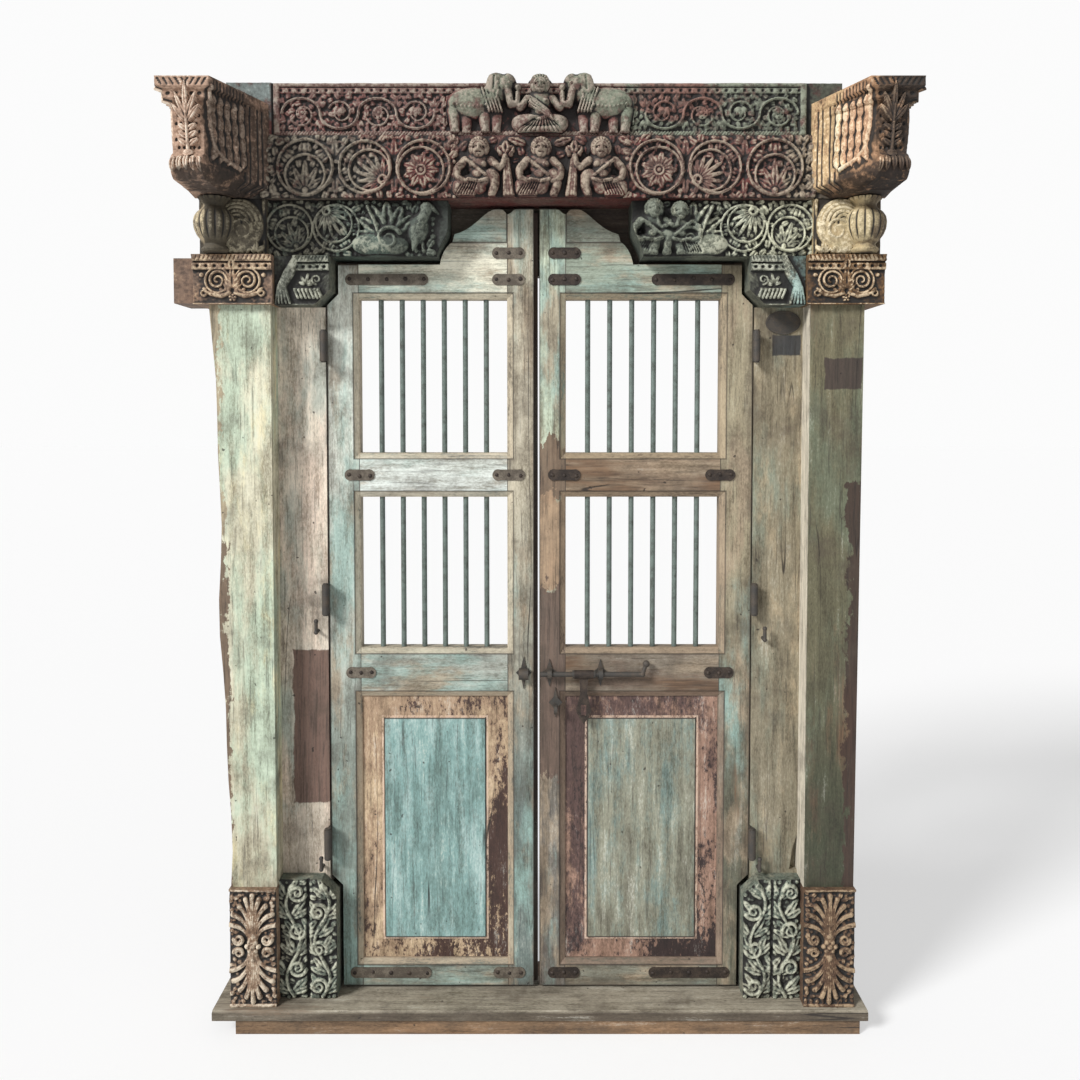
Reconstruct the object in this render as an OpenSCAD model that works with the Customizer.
// Carved double-leaf entrance door in its frame, in millimetres.
// X runs along the wall, Y into the building and Z up. The origin lies on the floor under
// the middle of the threshold, and y = 0 is the front face of the closed leaves.

/* [Doorway] */
// Distance between the hinge axes of the two leaves
hinge_span = 980; // [960:5:1000]
// Distance from the leaf face to the hinge axes in front of it
pin_stand_off = 26; // [25:1:30]
// Width of the gap between the closed leaves
meeting_gap = 13; // [12:1:16]
// Distance of the gap's middle from the middle of the door
gap_shift = 8; // [0:1:12]

/* [Leaves] */
// Thickness of a leaf
leaf_t = 38; // [34:1:40]
// Bottom edge of a leaf over the floor
leaf_bottom = 62; // [60:1:66]
// Height of the bottom rail
bottom_rail_h = 63; // [55:1:75]
// Height of the panel opening
panel_h = 623; // [560:1:640]
// Height of the rail that carries the bolt
lock_rail_h = 115; // [100:1:125]
// Height of the lower grille opening
lower_grille_h = 351; // [320:1:355]
// Height of the rail between the grilles
middle_rail_h = 102; // [90:1:110]
// Height of the upper grille opening
upper_grille_h = 352; // [320:1:355]
// Height of the top rail at the hinge side
top_rail_h = 78; // [70:1:80]
// Rise of the crest over the flat top of a leaf
crest_rise = 126; // [110:1:126]
// Width of the stile that carries the hinges
hinge_stile_w = 73; // [66:1:85]
// Width of the stile at the middle of the door
meeting_stile_w = 61; // [54:1:70]

/* [Grilles] */
// Diameter of a grille bar
bar_d = 12; // [10:0.5:14]
// Bars in one grille
bar_count = 6; // [4:1:8]

/* [Frame] */
// Height of the threshold plinth
plinth_h = 34; // [30:1:36]
// Height of the threshold board on it
board_h = 22; // [20:1:24]
// Distance from the middle to the joint between jamb and post
post_inner = 600; // [595:1:610]
// Width of a post at its foot
post_w = 108; // [100:1:114]
// Distance from the leaf face to the front of a post
post_front = 60; // [55:1:64]
// Bottom of the capitals
capital_bottom = 1648; // [1640:1:1650]
// Height of the capitals
capital_h = 108; // [106:1:110]
// Height of the lower lintel
lower_lintel_h = 124; // [120:1:128]
// Height of the middle lintel
middle_lintel_h = 137; // [130:1:145]
// Height of the upper lintel
upper_lintel_h = 116; // [110:1:125]
// Half length of the upper and middle lintels
lintel_reach = 690; // [670:1:700]

/* [Ironwork] */
// Length of a hinge knuckle
knuckle_h = 68; // [60:1:80]
// Radius of a hinge knuckle
knuckle_r = 8.5; // [8:0.1:9]
// Radius of a hinge pin
pin_r = 3.5; // [3:0.1:4]
// Radius of the bolt rod
rod_r = 6; // [5:0.1:6.5]
// Distance from the leaf face to the rod's axis
rod_stand_off = 16; // [15:0.5:18]

/* [Hidden] */
$fn = 48;

LEFT = -1;
RIGHT = 1;

// Heights of the joints between the rails
threshold_top = plinth_h + board_h;
panel_z0 = leaf_bottom + bottom_rail_h;
panel_z1 = panel_z0 + panel_h;
lower_grille_z0 = panel_z1 + lock_rail_h;
lower_grille_z1 = lower_grille_z0 + lower_grille_h;
upper_grille_z0 = lower_grille_z1 + middle_rail_h;
upper_grille_z1 = upper_grille_z0 + upper_grille_h;
leaf_top = upper_grille_z1 + top_rail_h;
crest_joint_z = leaf_top + 50;
crest_z = leaf_top + crest_rise;

// Places across the door, for the right-hand half
hinge_x = hinge_span / 2;
edge_gap = 2.5;
leaf_edge = hinge_x - edge_gap;
stile_inner = leaf_edge - hinge_stile_w;
block_inner = hinge_x - 21.5;
notch_gap = 7.5;
notch_edge = block_inner - notch_gap;
stop_inner = hinge_x - 38;
stop_front = leaf_t + 4;
frame_back = 95;
post_back = 60;

// Heights of the frame's blocks and lintels
base_top = 334;
post_base_top = 328;
corner_cut = 34;
capital_top = capital_bottom + capital_h;
lintel_1 = capital_top + lower_lintel_h;
lintel_2 = lintel_1 + middle_lintel_h;
lintel_3 = lintel_2 + upper_lintel_h;
capital_joint = 591;
jamb_front = -4;
jamb_base_front = -45;
inner_capital_front = -70;
outer_capital_front = -85;
lower_lintel_front = -50;
middle_lintel_front = -70;
upper_lintel_front = -60;
pot_inner = 617;
pot_front_x = 604;
beam_end_low = 230;
beam_end_high = 205;

// Joinery
tenon_l = 30;
tenon_y0 = 13;
tenon_t = 12;
groove_depth = 10;
groove_y0 = 12;
groove_t = 10;
moulding_w = 14;
moulding_d = 9;
moulding_step = 1.5;
bar_seat = 15;
bar_fit = 0.1;

// Ironwork
hinge_heights = [412, 981, 1559];
plate_t = 2;
running_fit = 0.05;
knuckle_gap = 0.3;
knuckle_third = (knuckle_h - 2 * knuckle_gap) / 3;
rod_z = panel_z1 + lock_rail_h / 2;
rod_x0 = 1;
rod_x1 = 236;
bracket_xs = [22, 140];
hasp_x = 101;
hasp_barrel = 44;
strap_w = 25;
strap_t = 2;
staple_x = 36;
eye_z = 722;
eye_y = -12;
eye_r = 5.5;

// Depth that a carved relief is let into its ground, so that both are one solid
bite = 1.5;

// Edge of a leaf at the gap, for the half that mirrors onto one side
function meet_x(side) = meeting_gap / 2 - side * gap_shift;
function stile_x(side) = meet_x(side) + meeting_stile_w;
function bezier(a, b, c, d, n) = [for (i = [0 : n])
    let (t = i / n)
    pow(1 - t, 3) * a + 3 * t * pow(1 - t, 2) * b + 3 * t * t * (1 - t) * c + t * t * t * d];

// Builds a right-hand shape, or its mirror image on the left
module sided(side) {
    mirror([side < 0 ? 1 : 0, 0, 0]) children();
}

// Extrudes an outline drawn in X and Z from the depth y0 to the depth y1
module front_profile(y0, y1) {
    translate([0, y1, 0]) rotate([90, 0, 0]) linear_extrude(y1 - y0) children();
}

module block(x0, x1, y0, y1, z0, z1) {
    translate([x0, y0, z0]) cube([x1 - x0, y1 - y0, z1 - z0]);
}

// Lays relief that is drawn flat, with its height along Z, on a face that looks to the front
module on_front(x, y, z) {
    translate([x, y, z]) rotate([90, 0, 0]) children();
}

// Carved motifs, drawn flat with few faces

module petal(l, w, h) {
    translate([l / 2, 0, -bite]) scale([l / w, 1, 1])
        hull() cylinder(h = h + bite, r1 = w / 2, r2 = 0, $fn = 4);
}

module boss(r, h) {
    translate([0, 0, -bite]) hull() cylinder(h = h + bite, r1 = r, r2 = r * 0.5, $fn = 6);
}

module ring(r, w, h) {
    rotate_extrude($fn = 12)
        polygon([[r - w / 2, -bite], [r + w / 2, -bite], [r, h]]);
}

module rosette(count, r0, l, w, h) {
    for (i = [0 : count - 1]) rotate(i * 360 / count) translate([r0, 0, 0]) petal(l, w, h);
}

module roundel(r, count, h) {
    ring(r * 0.92, r * 0.16, h);
    rosette(count, r * 0.22, r * 0.6, r * 0.36, h * 0.9);
    boss(r * 0.26, h);
}

// Half a flower that opens upwards
module palmette(count, r0, l, w, h) {
    for (i = [0 : count - 1]) rotate(8 + i * 164 / (count - 1)) translate([r0, 0, 0]) petal(l, w, h);
}

module bead_row(x0, x1, count, r, h) {
    for (i = [0 : count - 1]) translate([x0 + (x1 - x0) * (i + 0.5) / count, 0, -bite])
        hull() cylinder(h = h + bite, r1 = r, r2 = 0, $fn = 4);
}

// Round bodies for carved figures

module ball(place, size, turn = 0) {
    translate(place) rotate(turn) scale(size) hull() sphere(1, $fn = 7);
}

module limb(a, b, ra, rb) {
    hull() {
        translate(a) sphere(ra, $fn = 5);
        translate(b) sphere(rb, $fn = 5);
    }
}

// A standing figure in a long skirt, its feet at the origin
module attendant(h) {
    limb([0, h * 0.06, 4], [0, h * 0.42, 8], h * 0.19, h * 0.13);
    ball([0, h * 0.58, 10], [h * 0.15, h * 0.19, h * 0.14]);
    ball([0, h * 0.84, 12], [h * 0.1, h * 0.13, h * 0.11]);
    for (s = [-1, 1]) {
        limb([s * h * 0.15, h * 0.68, 10], [s * h * 0.27, h * 0.48, 14], h * 0.055, h * 0.045);
        limb([s * h * 0.27, h * 0.48, 14], [s * h * 0.12, h * 0.42, 24], h * 0.045, h * 0.04);
    }
}

// A seated figure under a pointed crown
module seated_figure(h) {
    ball([0, h * 0.12, 8], [h * 0.38, h * 0.13, h * 0.17]);
    ball([0, h * 0.42, 10], [h * 0.19, h * 0.24, h * 0.16]);
    ball([0, h * 0.74, 12], [h * 0.12, h * 0.14, h * 0.13]);
    limb([0, h * 0.84, 12], [0, h * 0.97, 12], h * 0.09, h * 0.03);
    for (s = [-1, 1]) {
        limb([s * h * 0.2, h * 0.55, 10], [s * h * 0.37, h * 0.36, 14], h * 0.06, h * 0.05);
        limb([s * h * 0.37, h * 0.36, 14], [s * h * 0.25, h * 0.16, 22], h * 0.05, h * 0.05);
    }
}

// An elephant that looks towards the middle, its feet at z = 0 of the drawing
module elephant(h) {
    ball([-h * 0.16, h * 0.58, 6], [h * 0.42, h * 0.3, h * 0.2]);
    ball([h * 0.3, h * 0.68, 14], [h * 0.21, h * 0.23, h * 0.17]);
    limb([h * 0.46, h * 0.6, 18], [h * 0.52, h * 0.28, 22], h * 0.09, h * 0.06);
    limb([h * 0.52, h * 0.28, 22], [h * 0.42, h * 0.1, 20], h * 0.06, h * 0.05);
    ball([h * 0.14, h * 0.66, 24], [h * 0.14, h * 0.2, h * 0.06]);
    for (x = [-0.46, -0.2, 0.06, 0.26])
        limb([h * x, h * 0.36, 8], [h * x, h * 0.08, 10], h * 0.1, h * 0.085);
}

// A bird with a curled tail, as on the bracket beams
module bird(h) {
    ball([0, h * 0.42, h * 0.06], [h * 0.2, h * 0.34, h * 0.18], 12);
    ball([h * 0.12, h * 0.82, h * 0.07], [h * 0.13, h * 0.14, h * 0.13]);
    limb([h * 0.22, h * 0.82, h * 0.07], [h * 0.34, h * 0.74, h * 0.07], h * 0.06, h * 0.025);
    limb([-h * 0.1, h * 0.3, h * 0.06], [-h * 0.36, h * 0.12, h * 0.06], h * 0.12, h * 0.05);
    limb([-h * 0.36, h * 0.12, h * 0.06], [-h * 0.46, h * 0.34, h * 0.06], h * 0.05, h * 0.03);
    for (x = [-0.04, 0.1]) limb([h * x, h * 0.14, h * 0.06], [h * x, 2, h * 0.06], h * 0.05, h * 0.05);
}

// Threshold

module threshold_plinth() {
    color("sienna") block(-690, 725, -84, 104, 0, plinth_h);
}

module threshold_board() {
    worn = 5;
    color("rosybrown") translate([-742, 0, 0]) rotate([90, 0, 90]) linear_extrude(2 * 742)
        polygon([[-90, plinth_h], [110, plinth_h], [110, threshold_top], [-90 + worn, threshold_top],
            [-90, threshold_top - worn]]);
}

// Posts and jambs

module left_post() {
    foot_x = -post_inner - post_w + 4;
    top_x = -729;
    // The outer side keeps the wave of the grown trunk
    wave = [for (i = [0 : 16])
        let (t = i / 16)
        [foot_x + (top_x - foot_x) * t + 5 * sin(t * 620) + 3 * sin(t * 1330),
            post_base_top + (capital_bottom - post_base_top) * t]];
    color("palegoldenrod") front_profile(-post_front, post_back)
        polygon(concat([[-post_inner, capital_bottom], [-post_inner, post_base_top]], wave));
}

module right_post() {
    taper = 8;
    color("darkkhaki") front_profile(-post_front, post_back)
        polygon([[post_inner, post_base_top], [post_inner + post_w + 6, post_base_top],
            [post_inner + post_w + 6 + taper, capital_bottom], [post_inner, capital_bottom]]);
}

// Palmettes that open upwards and downwards from a rosette, in a plain border
module post_base(w) {
    front = -post_front - 6;
    mid = post_inner + w / 2;
    h = post_base_top - threshold_top;
    border = 16;
    block(post_inner, post_inner + w, front, post_back, threshold_top, post_base_top);
    for (z = [threshold_top, post_base_top - border])
        block(post_inner + 1, post_inner + w - 1, front - 6, front + 1, z, z + border);
    for (turn = [0, 180]) on_front(mid, front, threshold_top + h / 2) rotate(turn) translate([0, 21, 0])
        palmette(6, 13, w * 0.34, 16, 8);
    on_front(mid, front, threshold_top + h / 2) ring(14, 7, 9);
    for (s = [-1, 1]) for (z = [0.16, 0.84])
        on_front(mid + s * w * 0.3, front, threshold_top + h * z) boss(9, 6);
}

module left_post_base() {
    color("saddlebrown") sided(LEFT) post_base(post_w - 2);
}

module right_post_base() {
    color("saddlebrown") sided(RIGHT) post_base(post_w + 8);
}

module jamb() {
    difference() {
        translate([0, 0, threshold_top]) linear_extrude(capital_bottom - threshold_top)
            polygon([[hinge_x, jamb_front], [post_inner, jamb_front], [post_inner, frame_back],
                [stop_inner, frame_back], [stop_inner, stop_front], [hinge_x, stop_front]]);
        for (z = hinge_heights) block(hinge_x - 1, hinge_x + plate_t, jamb_front - 1, 32,
            z - knuckle_h / 2, z + knuckle_h / 2);
    }
}

module left_jamb() {
    color("rosybrown") sided(LEFT) jamb();
}

// The outer edge is split away above the carved base
module right_jamb() {
    color("tan") difference() {
        sided(RIGHT) jamb();
        front_profile(jamb_front - 1, jamb_front + 16)
            polygon([[post_inner + 1, base_top + 8], [post_inner - 18, base_top + 8],
                [post_inner - 12, base_top + 52], [post_inner + 1, base_top + 96]]);
    }
}

module jamb_base() {
    h = base_top - threshold_top;
    mid = (block_inner + post_inner) / 2;
    half = (post_inner - block_inner) / 4;
    front = jamb_base_front + 8;
    front_profile(front, jamb_front)
        polygon([[block_inner, threshold_top], [post_inner, threshold_top], [post_inner, base_top],
            [block_inner + corner_cut, base_top], [block_inner, base_top - corner_cut]]);
    block(block_inner, hinge_x, jamb_front - 1, stop_front, threshold_top, base_top - corner_cut);
    for (s = [-1, 1]) {
        x = mid + s * half;
        block(x - half + 5, x + half - 5, front - 7, front + 1, threshold_top, threshold_top + 34);
        on_front(x, front, threshold_top + h * 0.3) palmette(5, 7, 25, 14, 7);
        on_front(x, front, threshold_top + h * 0.62) rosette(6, 4, 22, 13, 7);
        on_front(x, front, threshold_top + h * 0.62) ring(27, 7, 7);
        on_front(x + s * 4, front, threshold_top + h * 0.84) boss(11, 7);
    }
}

module left_jamb_base() {
    color("darkslategray") sided(LEFT) jamb_base();
}

module right_jamb_base() {
    color("darkslategray") sided(RIGHT) jamb_base();
}

// Capitals

// Stepped cornice, ribbed roll and scrolls on a block from x0 to x1
module capital_front(x0, x1, front, ribs, rib_x0) {
    h = capital_h;
    ground = front + 14;
    block(x0, x1, ground, post_back, capital_bottom, capital_top);
    block(x0, x1, front, ground + 1, capital_top - h * 0.16, capital_top);
    block(x0, x1, front + 5, ground + 1, capital_top - h * 0.28, capital_top - h * 0.16);
    on_front(0, front + 5, capital_top - h * 0.22) bead_row(x0 + 4, x1 - 4, ribs, 5, 4);
    for (i = [0 : ribs - 1]) {
        pitch = (x1 - 2 - rib_x0) / ribs;
        x = rib_x0 + pitch * (i + 0.5);
        limb([x, ground, capital_bottom + h * 0.14], [x, ground - 5, capital_bottom + h * 0.27],
            pitch * 0.52, pitch * 0.52);
    }
}

module outer_capital(x1) {
    mid = (capital_joint + x1) / 2;
    ground = outer_capital_front + 14;
    capital_front(capital_joint, x1, outer_capital_front, 8, capital_joint + 4);
    for (s = [-1, 1]) on_front(mid + s * 34, ground, capital_bottom + capital_h * 0.52) {
        ring(19, 8, 9);
        boss(8, 9);
    }
    on_front(mid, ground, capital_bottom + capital_h * 0.42) rotate(90) petal(36, 20, 9);
}

module left_outer_capital() {
    horn_end = 817;
    color("peru") sided(LEFT) {
        outer_capital(766);
        block(765, horn_end, -post_front + 8, post_back - 6, capital_bottom + 4, capital_top - 4);
    }
}

module right_outer_capital() {
    color("peru") sided(RIGHT) outer_capital(761);
}

module inner_capital() {
    ground = inner_capital_front + 14;
    mid = (block_inner + capital_joint) / 2;
    difference() {
        union() {
            capital_front(block_inner, capital_joint, inner_capital_front, 5, block_inner + corner_cut);
            block(block_inner, capital_joint, post_back - 1, frame_back, capital_bottom, capital_top);
            on_front(mid, ground, capital_bottom + capital_h * 0.32) bird(capital_h * 0.42);
            on_front(mid + 38, ground, capital_bottom + capital_h * 0.5) rosette(6, 3, 15, 9, 7);
        }
        front_profile(-200, 200) polygon([[block_inner - 1, capital_bottom - 1],
            [block_inner + corner_cut, capital_bottom - 1], [block_inner + corner_cut, capital_bottom],
            [block_inner, capital_bottom + corner_cut], [block_inner - 1, capital_bottom + corner_cut]]);
    }
    block(stop_inner, hinge_x, stop_front, frame_back, capital_bottom, capital_top);
}

module left_inner_capital() {
    color("darkseagreen") sided(LEFT) inner_capital();
}

module right_inner_capital() {
    color("darkseagreen") sided(RIGHT) inner_capital();
}

// Lintels

// Curve of a bracket beam's free end, from above to below
function beam_end() = bezier([beam_end_high, capital_top + 64], [beam_end_high, capital_top + 40],
    [beam_end_low, capital_top + 40], [beam_end_low, capital_top], 6);

// A bracket beam whose free end curves up to clear the crest of the leaf
module bracket_beam() {
    front_profile(lower_lintel_front, frame_back)
        polygon(concat([[pot_inner, capital_top], [pot_inner, lintel_1], [beam_end_high, lintel_1]],
            beam_end()));
    for (z = [capital_top + 5, lintel_1 - 12])
        block(beam_end_low + 6, pot_front_x - 2, lower_lintel_front - 7, lower_lintel_front + 1, z, z + 8);
}

module beam_roundels() {
    mid_z = (capital_top + lintel_1) / 2;
    for (x = [556, 462]) on_front(x, lower_lintel_front, mid_z) roundel(44, 6, 12);
    on_front(368, lower_lintel_front, mid_z) {
        ring(40, 12, 12);
        for (i = [-2 : 2]) rotate(180 + i * 32) translate([10, 0, 0]) petal(40, 20, 12);
    }
}

module lower_lintel_left() {
    color("cadetblue") sided(LEFT) {
        bracket_beam();
        beam_roundels();
        on_front(272, lower_lintel_front, capital_top + 16) mirror([1, 0, 0]) bird(92);
    }
}

module lower_lintel_right() {
    color("cadetblue") sided(RIGHT) {
        bracket_beam();
        beam_roundels();
        for (x = [248, 300]) on_front(x, lower_lintel_front, capital_top + 15) attendant(90);
    }
}

// Closes the arch behind the crests and stops the leaves
module head_board() {
    stop_z = leaf_top - 20;
    curve = beam_end();
    last = len(curve) - 1;
    color("saddlebrown") front_profile(stop_front, stop_front + 38)
        polygon(concat([[-stop_inner, stop_z], [stop_inner, stop_z], [stop_inner, capital_top]],
            [for (i = [last : -1 : 0]) curve[i]], [[beam_end_high, lintel_1], [-beam_end_high, lintel_1]],
            [for (p = curve) [-p[0], p[1]]], [[-stop_inner, capital_top]]));
}

module middle_lintel() {
    mid_z = (lintel_1 + lintel_2) / 2;
    color("firebrick") {
        block(-lintel_reach, lintel_reach, middle_lintel_front, frame_back, lintel_1, lintel_2);
        for (z = [lintel_1 + 2, lintel_2 - 10])
            block(-580, 580, middle_lintel_front - 9, middle_lintel_front + 1, z, z + 8);
        for (s = [LEFT, RIGHT]) {
            for (x = [255, 386, 517]) on_front(s * x, middle_lintel_front, mid_z) roundel(57, 8, 13);
            for (x = [320, 451]) for (up = [-1, 1])
                on_front(s * x, middle_lintel_front, mid_z + up * 40) boss(11, 9);
            on_front(s * 112, middle_lintel_front, lintel_1 + 10) attendant(112);
        }
        on_front(0, middle_lintel_front, lintel_1 + 10) attendant(118);
    }
}

module upper_lintel() {
    field = 584;
    pitch = 82;
    mid_z = (lintel_2 + lintel_3) / 2 - 4;
    color("brown") {
        block(-lintel_reach, lintel_reach - 24, upper_lintel_front, frame_back, lintel_2, lintel_3);
        for (z = [lintel_2 + 2, lintel_3 - 16])
            block(-field, field, upper_lintel_front - 8, upper_lintel_front + 1, z, z + 10);
        on_front(0, upper_lintel_front - 8, lintel_3 - 11) bead_row(-field, field, 24, 7, 5);
        for (s = [LEFT, RIGHT]) {
            for (i = [0 : 3]) on_front(s * (field - 45 - i * pitch), upper_lintel_front, mid_z)
                roundel(38, 6, 11);
            on_front(s * 132, upper_lintel_front, lintel_2 + 10) mirror([s > 0 ? 1 : 0, 0, 0]) elephant(100);
        }
        on_front(0, upper_lintel_front, lintel_2 + 10) seated_figure(108);
    }
}

// Brackets at the ends of the lintels

// Tall corbel whose inner side is splayed to the front, with a leaf on its front and a curl below
module corbel() {
    back = middle_lintel_front;
    tip = -250;
    z0 = lintel_1;
    z1 = 2085;
    module slice(y, x0, x1, za, zb) {
        block(x0, x1, y, y + 1, za, zb);
    }
    hull() {
        slice(back - 1, 596, 764, z0 + 4, z1 - 40);
        slice(tip + 24, 684, 748, z0 + 46, z1 - 40);
    }
    for (tier = [0, 1]) {
        za = z1 - 42 + tier * 20;
        hull() {
            slice(back - 1, 596, 770 + tier * 6, za, za + 22);
            slice(tip + 12 * (1 - tier), 676 - tier * 10, 764 + tier * 12, za, za + 22);
        }
    }
    limb([686, tip + 34, z0 + 30], [746, tip + 34, z0 + 30], 27, 27);
    hull() {
        slice(back - 1, 640, 758, z0, z0 + 30);
        slice(tip + 50, 684, 748, z0 + 4, z0 + 40);
    }
    on_front(716, tip + 24, z0 + 66) for (i = [-1 : 1]) rotate(90 + i * 28) petal(78, 26, 12);
    // Flutes and scales on the splayed side
    for (row = [0 : 2]) for (i = [0 : 4]) {
        t = (i + 0.5) / 5;
        translate([596 + 88 * t, back - (back - tip - 24) * t, z0 + 62 + row * 32])
            rotate([90, 0, -60]) rotate(-90) petal(34, 22, 8);
    }
    on_front(0, tip, z1 - 11) bead_row(668, 774, 7, 6, 4);
}

module left_corbel() {
    color("burlywood") sided(LEFT) corbel();
}

module right_corbel() {
    color("goldenrod") sided(RIGHT) corbel();
}

// Bracket in the form of a pot with leaves, between the capital and the corbel
module pot_bracket() {
    pot_x = 712;
    pot_y = -88;
    mid_z = capital_top + 66;
    block(pot_inner, 752, lower_lintel_front, post_back, capital_top, lintel_1);
    block(pot_front_x, 752, lower_lintel_front - 18, lower_lintel_front, capital_top, lintel_1);
    ball([pot_x, pot_y, mid_z], [42, 42, 40]);
    limb([pot_x, pot_y, mid_z + 30], [pot_x, pot_y, lintel_1 - 20], 20, 19);
    limb([pot_x, pot_y + 6, mid_z - 44], [pot_x, pot_y + 6, mid_z - 30], 21, 24);
    for (i = [0 : 4]) on_front(620 + i * 11, lower_lintel_front - 18, capital_top + 12) rotate(90)
        petal(100, 10, 9);
    for (i = [-2 : 2]) translate([pot_x, pot_y, mid_z - 36]) rotate([90, 0, i * 34]) rotate(90)
        translate([0, 0, 30]) petal(46, 18, 14);
}

module left_pot_bracket() {
    color("saddlebrown") sided(LEFT) pot_bracket();
}

module right_pot_bracket() {
    color("wheat") sided(RIGHT) pot_bracket();
}

// Small ironwork of the frame

// Hook with a shank in the jamb and a pin that points up
module hook(x, z) {
    reach = 22;
    r = 4;
    translate([x, jamb_front - reach, z]) {
        rotate([-90, 0, 0]) cylinder(h = reach, r = r);
        sphere(r * 1.25);
        cylinder(h = 26, r = r);
        translate([0, 0, 26]) sphere(r * 1.3);
    }
}

module jamb_hooks() {
    color("dimgray") {
        hook(-513, 905);
        hook(-506, 352);
        hook(515, 888);
        hook(508, 350);
    }
}

module oval_plaque() {
    place = [555, jamb_front, 1614];
    size = [40, 27];
    outline = [for (i = [0 : 39]) [size[0] * cos(i * 9), size[1] * sin(i * 9)]];
    rim = 4;
    color("gray") translate(place) rotate([90, 0, 0]) {
        linear_extrude(1.4) polygon(outline);
        linear_extrude(2.6) difference() {
            polygon(outline);
            polygon([for (p = outline) [p[0] * (1 - rim / size[0]), p[1] * (1 - rim / size[1])]]);
        }
    }
}

// Hinges

module knuckle(z0, h, bore) {
    translate([hinge_x, -pin_stand_off, z0]) difference() {
        cylinder(h = h, r = knuckle_r);
        translate([0, 0, -1]) cylinder(h = h + 2, r = bore);
    }
}

// Plate in the joint between leaf and jamb, cut clear of the other plate's knuckles
module hinge_plate(z, x0, own, other) {
    rise = knuckle_third + knuckle_gap;
    z0 = z - knuckle_h / 2;
    difference() {
        union() {
            block(x0, x0 + plate_t, -pin_stand_off, 32, z0, z0 + knuckle_h);
            for (i = own) knuckle(z0 + i * rise, knuckle_third, pin_r + running_fit);
        }
        for (i = other) translate([hinge_x, -pin_stand_off, z0 + i * rise - knuckle_gap])
            cylinder(h = knuckle_third + 2 * knuckle_gap, r = knuckle_r + 0.5);
        translate([hinge_x, -pin_stand_off, z0 - 1]) cylinder(h = knuckle_h + 2, r = pin_r + running_fit);
    }
}

module hinge_jamb_plates(side) {
    color("dimgray") sided(side) for (z = hinge_heights) hinge_plate(z, hinge_x, [0, 2], [1]);
}

module hinge_leaf_plates(side) {
    color("dimgray") sided(side) for (z = hinge_heights) hinge_plate(z, leaf_edge, [1], [0, 2]);
}

module left_hinge_jamb_plates() {
    hinge_jamb_plates(LEFT);
}

module right_hinge_jamb_plates() {
    hinge_jamb_plates(RIGHT);
}

module left_hinge_leaf_plates() {
    hinge_leaf_plates(LEFT);
}

module right_hinge_leaf_plates() {
    hinge_leaf_plates(RIGHT);
}

module hinge_pins() {
    head = 3;
    color("dimgray") for (side = [LEFT, RIGHT]) for (z = hinge_heights)
        translate([side * hinge_x, -pin_stand_off, z - knuckle_h / 2]) {
            translate([0, 0, -head]) cylinder(h = knuckle_h + 2 * head, r = pin_r);
            translate([0, 0, -head]) cylinder(h = head, r = pin_r + 3);
            translate([0, 0, knuckle_h]) cylinder(h = head, r = pin_r + 3);
        }
}

// Leaves

// Moulded edge of an opening, cut out of the stiles and rails alike so that its corners are mitred
module opening_moulding(side, span) {
    x0 = stile_x(side);
    x1 = stile_inner;
    w = moulding_w;
    block(x0 - w, x1 + w, -1, moulding_step, span[0] - w, span[1] + w);
    hull() {
        block(x0 - w, x1 + w, 0, moulding_step, span[0] - w, span[1] + w);
        block(x0, x1, 0, moulding_d, span[0], span[1]);
    }
}

module tenon(x0, z0, z1) {
    block(x0, x0 + tenon_l, tenon_y0, tenon_y0 + tenon_t, z0 + groove_depth, z1 - groove_depth);
}

// Lower and upper edges of the rails
function rail_spans() = [[leaf_bottom, panel_z0], [panel_z1, lower_grille_z0],
    [lower_grille_z1, upper_grille_z0], [upper_grille_z1, leaf_top]];
function opening_spans() = [[panel_z0, panel_z1], [lower_grille_z0, lower_grille_z1],
    [upper_grille_z0, upper_grille_z1]];

module hinge_stile(side) {
    slope = leaf_edge - notch_edge;
    low = base_top - corner_cut + 3;
    high = capital_bottom + corner_cut - 3;
    difference() {
        front_profile(0, leaf_t) polygon([[stile_inner, leaf_bottom], [notch_edge, leaf_bottom],
            [notch_edge, low], [leaf_edge, low + slope], [leaf_edge, high - slope], [notch_edge, high],
            [notch_edge, leaf_top], [stile_inner, leaf_top]]);
        for (span = rail_spans()) tenon(stile_inner, span[0], span[1]);
        block(stile_inner - 1, stile_inner + groove_depth, groove_y0, groove_y0 + groove_t,
            panel_z0 - groove_depth, panel_z1 + groove_depth);
        for (span = opening_spans()) opening_moulding(side, span);
    }
}

module meeting_stile(side) {
    meet = meet_x(side);
    inner = stile_x(side);
    difference() {
        front_profile(0, leaf_t) polygon(concat([[meet, leaf_bottom], [inner, leaf_bottom],
            [inner, crest_z - 12]], bezier([inner - 2, crest_z - 12], [inner - 12, crest_z - 10],
            [inner - 14, crest_z], [inner - 24, crest_z], 6), [[meet, crest_z]]));
        for (span = rail_spans()) tenon(inner - tenon_l, span[0], span[1]);
        block(inner - groove_depth, inner + 1, groove_y0, groove_y0 + groove_t,
            panel_z0 - groove_depth, panel_z1 + groove_depth);
        for (span = opening_spans()) opening_moulding(side, span);
    }
}

module panel_groove(side, z0, z1) {
    block(stile_x(side) - 1, stile_inner + 1, groove_y0, groove_y0 + groove_t, z0, z1);
}

function bar_x(side, i) = stile_x(side) + (stile_inner - stile_x(side)) * (i + 1) / (bar_count + 1);

module bar_holes(side, z0, z1) {
    for (i = [0 : bar_count - 1]) translate([bar_x(side, i), leaf_t / 2, z0])
        cylinder(h = z1 - z0, r = bar_d / 2 + bar_fit);
}

module rail_body(side, z0, z1) {
    block(stile_x(side), stile_inner, 0, leaf_t, z0, z1);
    rail_tenons(side, z0, z1);
}

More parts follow.
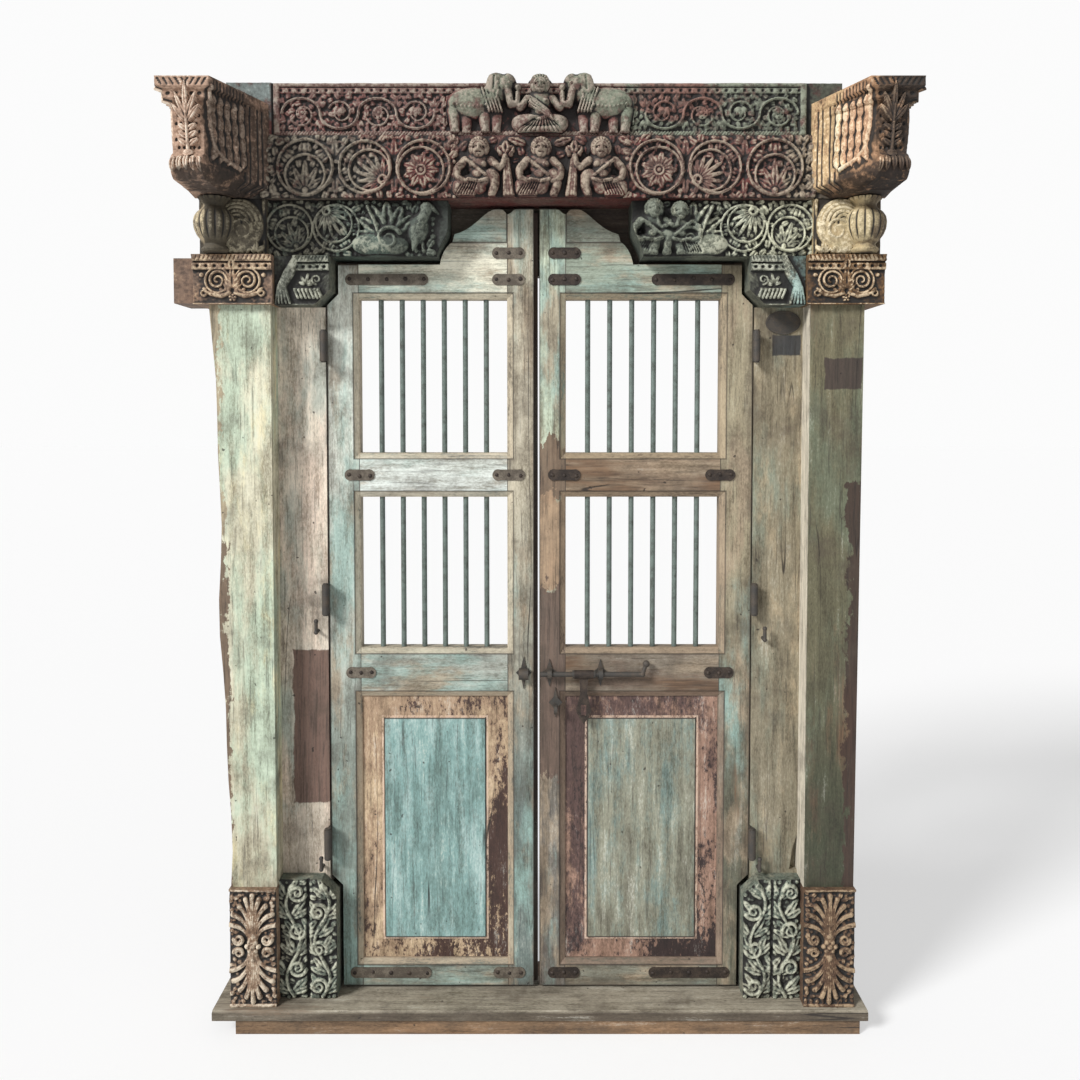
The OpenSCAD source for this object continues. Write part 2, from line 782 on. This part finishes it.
module rail_tenons(side, z0, z1) {
    tenon(stile_inner, z0, z1);
    tenon(stile_x(side) - tenon_l, z0, z1);
}

module bottom_rail(side) {
    difference() {
        rail_body(side, leaf_bottom, panel_z0);
        panel_groove(side, panel_z0 - groove_depth, panel_z0 + 1);
        opening_moulding(side, opening_spans()[0]);
    }
}

module lower_mid_rail(side) {
    difference() {
        rail_body(side, panel_z1, lower_grille_z0);
        panel_groove(side, panel_z1 - 1, panel_z1 + groove_depth);
        bar_holes(side, lower_grille_z0 - bar_seat, lower_grille_z0 + 1);
        for (i = [0, 1]) opening_moulding(side, opening_spans()[i]);
    }
}

module upper_mid_rail(side) {
    difference() {
        rail_body(side, lower_grille_z1, upper_grille_z0);
        bar_holes(side, lower_grille_z1 - 1, lower_grille_z1 + bar_seat);
        bar_holes(side, upper_grille_z0 - bar_seat, upper_grille_z0 + 1);
        for (i = [1, 2]) opening_moulding(side, opening_spans()[i]);
    }
}

// The top rail rises in a hollow curve to the joint under the crest board
module top_rail(side) {
    inner = stile_x(side);
    difference() {
        union() {
            front_profile(0, leaf_t) polygon(concat(
                [[inner, upper_grille_z1], [stile_inner, upper_grille_z1], [stile_inner, leaf_top]],
                bezier([inner + 153, leaf_top], [inner + 150, leaf_top + 22],
                    [inner + 138, leaf_top + 44], [inner + 125, crest_joint_z], 8),
                [[inner, crest_joint_z]]));
            rail_tenons(side, upper_grille_z1, leaf_top);
        }
        bar_holes(side, upper_grille_z1 - 1, upper_grille_z1 + bar_seat);
        opening_moulding(side, opening_spans()[2]);
    }
}

// Half of the cusped arch that crowns the two leaves
module crest(side) {
    inner = stile_x(side);
    front_profile(0, leaf_t) polygon(concat([[inner, crest_joint_z], [inner + 125, crest_joint_z]],
        bezier([inner + 119, crest_joint_z + 19], [inner + 70, crest_joint_z + 30],
            [inner + 52, crest_z], [inner + 20, crest_z], 12),
        bezier([inner + 16, crest_z], [inner + 8, crest_z - 1], [inner + 4, crest_z - 8],
            [inner, crest_z - 12], 5)));
}

// Panel with a raised field, its sloping border and the tongue that the frame holds
module raised_panel(side) {
    x0 = stile_x(side);
    x1 = stile_inner;
    border = [50, 45];
    field_front = 4;
    block(x0 - groove_depth, x1 + groove_depth, groove_y0, groove_y0 + groove_t,
        panel_z0 - groove_depth, panel_z1 + groove_depth);
    hull() {
        block(x0 + 4, x1 - 4, groove_y0, groove_y0 + 4, panel_z0 + 4, panel_z1 - 4);
        block(x0 + border[0], x1 - border[0], field_front + 3, field_front + 4,
            panel_z0 + border[1], panel_z1 - border[1]);
    }
    block(x0 + border[0] + 3, x1 - border[0] - 3, field_front, field_front + 6,
        panel_z0 + border[1] + 3, panel_z1 - border[1] - 3);
}

module grille(side, z0, z1) {
    for (i = [0 : bar_count - 1]) translate([bar_x(side, i), leaf_t / 2, z0 - bar_seat])
        cylinder(h = z1 - z0 + 2 * bar_seat, d = bar_d);
}

// Flat strap with round ends a little wider than its shank
module strap(x0, x1, z) {
    end_d = strap_w * 1.06;
    front_profile(-strap_t, 0) {
        translate([x0 + end_d / 2, z - strap_w / 2]) square([x1 - x0 - end_d, strap_w]);
        for (x = [x0 + end_d / 2, x1 - end_d / 2]) translate([x, z]) circle(d = end_d);
    }
}

module straps(side) {
    meet = meet_x(side);
    inner = stile_x(side);
    low_z = leaf_bottom + bottom_rail_h / 2;
    high_z = leaf_top - 34;
    middle_z = (lower_grille_z1 + upper_grille_z0) / 2;
    long = 190;
    for (z = [low_z, middle_z, high_z, leaf_top + 26]) strap(meet + 20, inner + 34, z);
    for (z = [low_z, high_z]) strap(notch_edge - 16 - long, notch_edge - 16, z);
    for (z = [rod_z, middle_z]) strap(stile_inner - 34, leaf_edge - 38, z);
}

module left_hinge_stile() {
    color("darkgray") sided(LEFT) hinge_stile(LEFT);
}

module left_meeting_stile() {
    color("darkgray") sided(LEFT) meeting_stile(LEFT);
}

module left_top_rail() {
    color("darkgray") sided(LEFT) top_rail(LEFT);
}

module left_crest() {
    color("darkgray") sided(LEFT) crest(LEFT);
}

module left_upper_mid_rail() {
    color("darkgray") sided(LEFT) upper_mid_rail(LEFT);
}

module left_lower_mid_rail() {
    color("darkgray") sided(LEFT) lower_mid_rail(LEFT);
}

module left_bottom_rail() {
    color("darkgray") sided(LEFT) bottom_rail(LEFT);
}

module left_panel() {
    color("mediumturquoise") sided(LEFT) raised_panel(LEFT);
}

module left_upper_grille() {
    color("slategray") sided(LEFT) grille(LEFT, upper_grille_z0, upper_grille_z1);
}

module left_lower_grille() {
    color("slategray") sided(LEFT) grille(LEFT, lower_grille_z0, lower_grille_z1);
}

module left_straps() {
    color("black") sided(LEFT) straps(LEFT);
}

module right_hinge_stile() {
    color("lightgray") sided(RIGHT) hinge_stile(RIGHT);
}

module right_meeting_stile() {
    color("lightgray") sided(RIGHT) meeting_stile(RIGHT);
}

module right_top_rail() {
    color("lightgray") sided(RIGHT) top_rail(RIGHT);
}

module right_crest() {
    color("lightgray") sided(RIGHT) crest(RIGHT);
}

module right_upper_mid_rail() {
    color("sienna") sided(RIGHT) upper_mid_rail(RIGHT);
}

module right_lower_mid_rail() {
    color("lightgray") sided(RIGHT) lower_mid_rail(RIGHT);
}

module right_bottom_rail() {
    color("lightgray") sided(RIGHT) bottom_rail(RIGHT);
}

module right_panel() {
    color("lightgray") sided(RIGHT) raised_panel(RIGHT);
}

module right_upper_grille() {
    color("slategray") sided(RIGHT) grille(RIGHT, upper_grille_z0, upper_grille_z1);
}

module right_lower_grille() {
    color("slategray") sided(RIGHT) grille(RIGHT, lower_grille_z0, lower_grille_z1);
}

module right_straps() {
    color("black") sided(RIGHT) straps(RIGHT);
}

// Narrow strip on the edge of the left leaf, set back in the gap
module meeting_strip() {
    strip_w = 9.5;
    meet = meet_x(LEFT);
    color("saddlebrown") sided(LEFT) block(meet - strip_w, meet, 14, 26, leaf_bottom + 4, crest_z - 7);
}

// Bolt

// Wrought plate with four points, flat on the leaf
module pointed_plate(x, z, w, h) {
    front_profile(-3, 0) translate([x, z]) {
        polygon([[-w / 2, 0], [-w * 0.16, h * 0.16], [0, h / 2], [w * 0.16, h * 0.16],
            [w / 2, 0], [w * 0.16, -h * 0.16], [0, -h / 2], [-w * 0.16, -h * 0.16]]);
        circle(d = w * 0.62);
    }
}

// Loop that holds the rod in front of a plate
module rod_loop(x, w, bore, r) {
    difference() {
        union() {
            translate([x - w / 2, -rod_stand_off, rod_z]) rotate([0, 90, 0]) cylinder(h = w, r = r);
            block(x - w / 2, x + w / 2, -rod_stand_off, -1, rod_z - r + 2, rod_z + r - 2);
        }
        translate([x - w / 2 - 1, -rod_stand_off, rod_z]) rotate([0, 90, 0]) cylinder(h = w + 2, r = bore);
    }
}

module bolt_brackets() {
    color("dimgray") for (x = bracket_xs) {
        pointed_plate(x, rod_z, 40, 64);
        rod_loop(x, 10, rod_r + running_fit, rod_r + 5);
    }
}

module bolt_keeper() {
    keeper_x = -38;
    keeper_play = 3;
    color("dimgray") {
        pointed_plate(keeper_x, rod_z, 36, 76);
        rod_loop(keeper_x, 22, rod_r + keeper_play, rod_r + keeper_play + 3.6);
    }
}

module hasp_staple() {
    lug = 8;
    r = 10.5;
    color("dimgray") {
        pointed_plate(staple_x, eye_z + 14, 32, 70);
        difference() {
            union() {
                translate([staple_x - lug / 2, eye_y, eye_z]) rotate([0, 90, 0]) cylinder(h = lug, r = r);
                block(staple_x - lug / 2, staple_x + lug / 2, eye_y, -1, eye_z - r + 2, eye_z + r - 2);
            }
            translate([staple_x - lug, eye_y, eye_z]) rotate([0, 90, 0]) cylinder(h = 2 * lug, r = eye_r);
        }
    }
}

// Rod with two collars that hold the hasp, and a tail that turns up to a knob
module bolt_rod() {
    collar = 4;
    collar_place = hasp_barrel / 2 + collar / 2 + knuckle_gap;
    color("dimgray") {
        translate([rod_x0, -rod_stand_off, rod_z]) rotate([0, 90, 0]) {
            cylinder(h = rod_x1 - rod_x0, r = rod_r);
            for (s = [-1, 1]) translate([0, 0, hasp_x - rod_x0 - collar / 2 + s * collar_place])
                cylinder(h = collar, r = rod_r + 3);
        }
        translate([rod_x1, -rod_stand_off, rod_z]) {
            sphere(rod_r + 1);
            rotate([0, 20, 0]) cylinder(h = 24, r = rod_r - 1);
            rotate([0, 20, 0]) translate([0, 0, 26]) sphere(rod_r + 2);
        }
    }
}

// Pear-shaped hasp on a barrel that turns on the rod, with a slot for the staple
module hasp() {
    t = 5;
    barrel_r = rod_r + 4;
    slot = [12, 26];
    eye_drop = rod_z - eye_z;
    color("black") difference() {
        union() {
            translate([hasp_x - hasp_barrel / 2, -rod_stand_off, rod_z]) rotate([0, 90, 0])
                cylinder(h = hasp_barrel, r = barrel_r);
            front_profile(-rod_stand_off - t / 2, -rod_stand_off + t / 2) translate([hasp_x, rod_z]) {
                polygon([[-11, 0], [-8, -44], [-15, -72], [-12, -98], [0, -116],
                    [12, -98], [15, -72], [8, -44], [11, 0]]);
                translate([0, -eye_drop]) circle(r = 17);
            }
        }
        translate([hasp_x - hasp_barrel, -rod_stand_off, rod_z]) rotate([0, 90, 0])
            cylinder(h = 2 * hasp_barrel, r = rod_r + running_fit);
        block(hasp_x - slot[0] / 2, hasp_x + slot[0] / 2, -40, 0,
            rod_z - eye_drop - slot[1] / 2, rod_z - eye_drop + slot[1] / 2);
    }
}

threshold_board();
threshold_plinth();
left_post();
right_post();
left_post_base();
right_post_base();
left_jamb();
right_jamb();
left_jamb_base();
right_jamb_base();
left_outer_capital();
right_outer_capital();
left_inner_capital();
right_inner_capital();
lower_lintel_left();
lower_lintel_right();
head_board();
middle_lintel();
upper_lintel();
left_corbel();
right_corbel();
left_pot_bracket();
right_pot_bracket();
jamb_hooks();
oval_plaque();
left_hinge_jamb_plates();
right_hinge_jamb_plates();
hinge_pins();
left_hinge_stile();
left_meeting_stile();
left_top_rail();
left_crest();
left_upper_mid_rail();
left_lower_mid_rail();
left_bottom_rail();
left_panel();
left_upper_grille();
left_lower_grille();
left_straps();
left_hinge_leaf_plates();
bolt_keeper();
meeting_strip();
right_hinge_stile();
right_meeting_stile();
right_top_rail();
right_crest();
right_upper_mid_rail();
right_lower_mid_rail();
right_bottom_rail();
right_panel();
right_upper_grille();
right_lower_grille();
right_straps();
right_hinge_leaf_plates();
bolt_brackets();
hasp_staple();
bolt_rod();
hasp();
